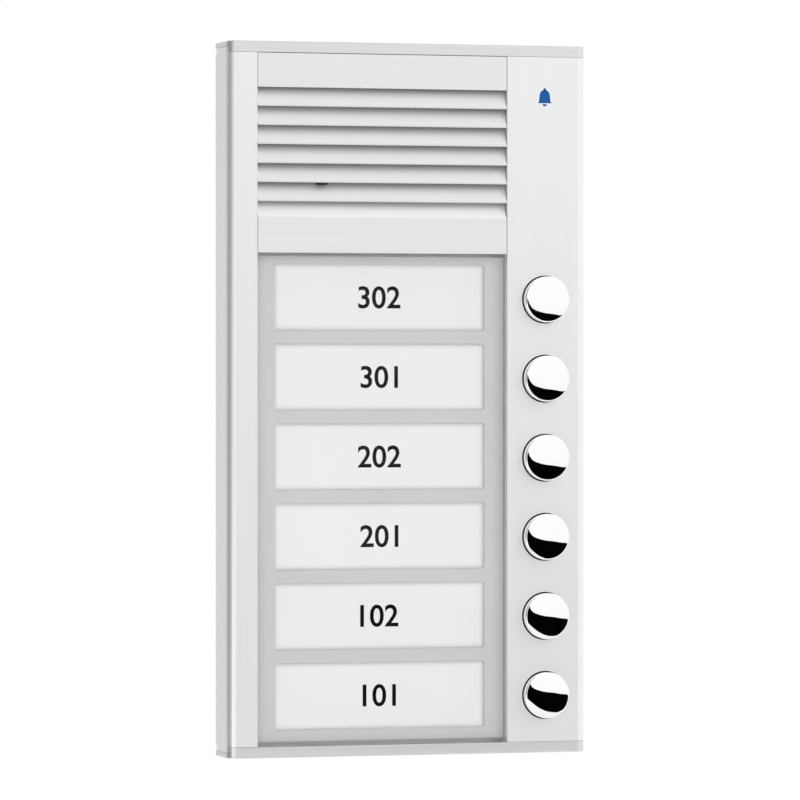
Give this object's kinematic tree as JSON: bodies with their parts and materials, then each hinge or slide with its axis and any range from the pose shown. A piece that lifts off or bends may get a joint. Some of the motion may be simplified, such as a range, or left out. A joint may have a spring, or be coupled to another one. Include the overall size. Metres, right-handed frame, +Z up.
{
  "type": "door intercom panel",
  "caption": "Surface-mounted audio door station with a louvred speaker grille, backlit name windows behind a clear cover, and chrome call buttons.",
  "frame": {"origin": "centre of the four wall-screw holes, on the plane of the wall", "axes": "+X right and +Z up as seen by a caller, +Y into the wall, so the front faces -Y"},
  "size_m": [0.136, 0.0228, 0.26],
  "materials": {
    "anodised_aluminium": "satin anodised, fine vertical grain",
    "cap_grey": "moulded, light grey",
    "grille_silver": "satin, fine horizontal grain",
    "screw_steel": "zinc plated",
    "back_plate_steel": "galvanised sheet",
    "seal_foam": "closed-cell foam",
    "black_rubber": "soft moulded rubber",
    "acoustic_cloth": "fine woven mesh",
    "basket_steel": "black coating",
    "cone_paper": "pressed pulp",
    "ferrite": "sintered ferrite",
    "capsule_metal": "plain can",
    "clear_cover": "clear, glossy",
    "mask_grey": "satin light grey",
    "label_film": "matt white film",
    "diffuser_acrylic": "milky acrylic",
    "led_package": "clear resin over phosphor",
    "board_green": "solder resist",
    "component_black": "moulded packages",
    "switch_black": "moulded",
    "terminal_green": "moulded polyamide",
    "trimmer_blue": "moulded",
    "trimmer_white": "moulded",
    "button_chrome": "mirror polished",
    "plunger_plastic": "moulded acetal",
    "spring_steel": "drawn wire",
    "lead_insulation": "extruded insulation",
    "socket_white": "moulded"
  },
  "bodies": {
    "panel": {"housing_profile": "anodised_aluminium", "top_end_cap": "cap_grey", "bottom_end_cap": "cap_grey", "speaker_grille": "grille_silver", "end_cap_screws": "screw_steel", "locking_screw": "screw_steel", "speaker_screws": "screw_steel", "circuit_board_screws": "screw_steel", "terminal_screws": "screw_steel", "back_plate": "back_plate_steel", "wall_seal": "seal_foam", "speaker_gasket": "seal_foam", "cable_grommet": "black_rubber", "microphone_boot": "black_rubber", "acoustic_mesh": "acoustic_cloth", "speaker_basket": "basket_steel", "speaker_cone": "cone_paper", "speaker_magnet": "ferrite", "microphone_capsule": "capsule_metal", "window_cover": "clear_cover", "label_mask": "mask_grey", "name_label_1": "label_film", "name_label_2": "label_film", "name_label_3": "label_film", "name_label_4": "label_film", "name_label_5": "label_film", "name_label_6": "label_film", "light_diffuser": "diffuser_acrylic", "backlight_leds": "led_package", "circuit_board": "board_green", "circuit_components": "component_black", "switch_bodies": "switch_black", "button_carrier": "switch_black", "terminal_block": "terminal_green", "trimmer_bases": "trimmer_blue", "button_spring_1": "spring_steel", "button_spring_2": "spring_steel", "button_spring_3": "spring_steel", "button_spring_4": "spring_steel", "button_spring_5": "spring_steel", "button_spring_6": "spring_steel", "speaker_leads": "lead_insulation", "speaker_socket": "socket_white"},
    "call_button_1": {"button_cap_1": "button_chrome", "switch_plunger_1": "plunger_plastic"},
    "call_button_2": {"button_cap_2": "button_chrome", "switch_plunger_2": "plunger_plastic"},
    "call_button_3": {"button_cap_3": "button_chrome", "switch_plunger_3": "plunger_plastic"},
    "call_button_4": {"button_cap_4": "button_chrome", "switch_plunger_4": "plunger_plastic"},
    "call_button_5": {"button_cap_5": "button_chrome", "switch_plunger_5": "plunger_plastic"},
    "call_button_6": {"button_cap_6": "button_chrome", "switch_plunger_6": "plunger_plastic"},
    "volume_trimmer": {"volume_trimmer_rotor": "trimmer_white"},
    "microphone_trimmer": {"microphone_trimmer_rotor": "trimmer_white"}
  },
  "joints": [
    {"name": "button_press_1", "type": "slide", "parent": "panel", "child": "call_button_1", "axis": [0, 1, 0], "range_m": [0, 0.001], "stiffness_N_per_m": 600, "springref_m": -0.0015, "deforming": ["button_spring_1"]},
    {"name": "button_press_2", "type": "slide", "parent": "panel", "child": "call_button_2", "axis": [0, 1, 0], "range_m": [0, 0.001], "stiffness_N_per_m": 600, "springref_m": -0.0015, "deforming": ["button_spring_2"]},
    {"name": "button_press_3", "type": "slide", "parent": "panel", "child": "call_button_3", "axis": [0, 1, 0], "range_m": [0, 0.001], "stiffness_N_per_m": 600, "springref_m": -0.0015, "deforming": ["button_spring_3"]},
    {"name": "button_press_4", "type": "slide", "parent": "panel", "child": "call_button_4", "axis": [0, 1, 0], "range_m": [0, 0.001], "stiffness_N_per_m": 600, "springref_m": -0.0015, "deforming": ["button_spring_4"]},
    {"name": "button_press_5", "type": "slide", "parent": "panel", "child": "call_button_5", "axis": [0, 1, 0], "range_m": [0, 0.001], "stiffness_N_per_m": 600, "springref_m": -0.0015, "deforming": ["button_spring_5"]},
    {"name": "button_press_6", "type": "slide", "parent": "panel", "child": "call_button_6", "axis": [0, 1, 0], "range_m": [0, 0.001], "stiffness_N_per_m": 600, "springref_m": -0.0015, "deforming": ["button_spring_6"]},
    {"name": "volume_trimmer_turn", "type": "hinge", "parent": "panel", "child": "volume_trimmer", "pos_m": [-0.034, -0.0048, 0.034], "axis": [0, 1, 0], "range_deg": [-135, 135]},
    {"name": "microphone_trimmer_turn", "type": "hinge", "parent": "panel", "child": "microphone_trimmer", "pos_m": [-0.045, -0.0048, 0.034], "axis": [0, 1, 0], "range_deg": [-135, 135]}
  ]
}
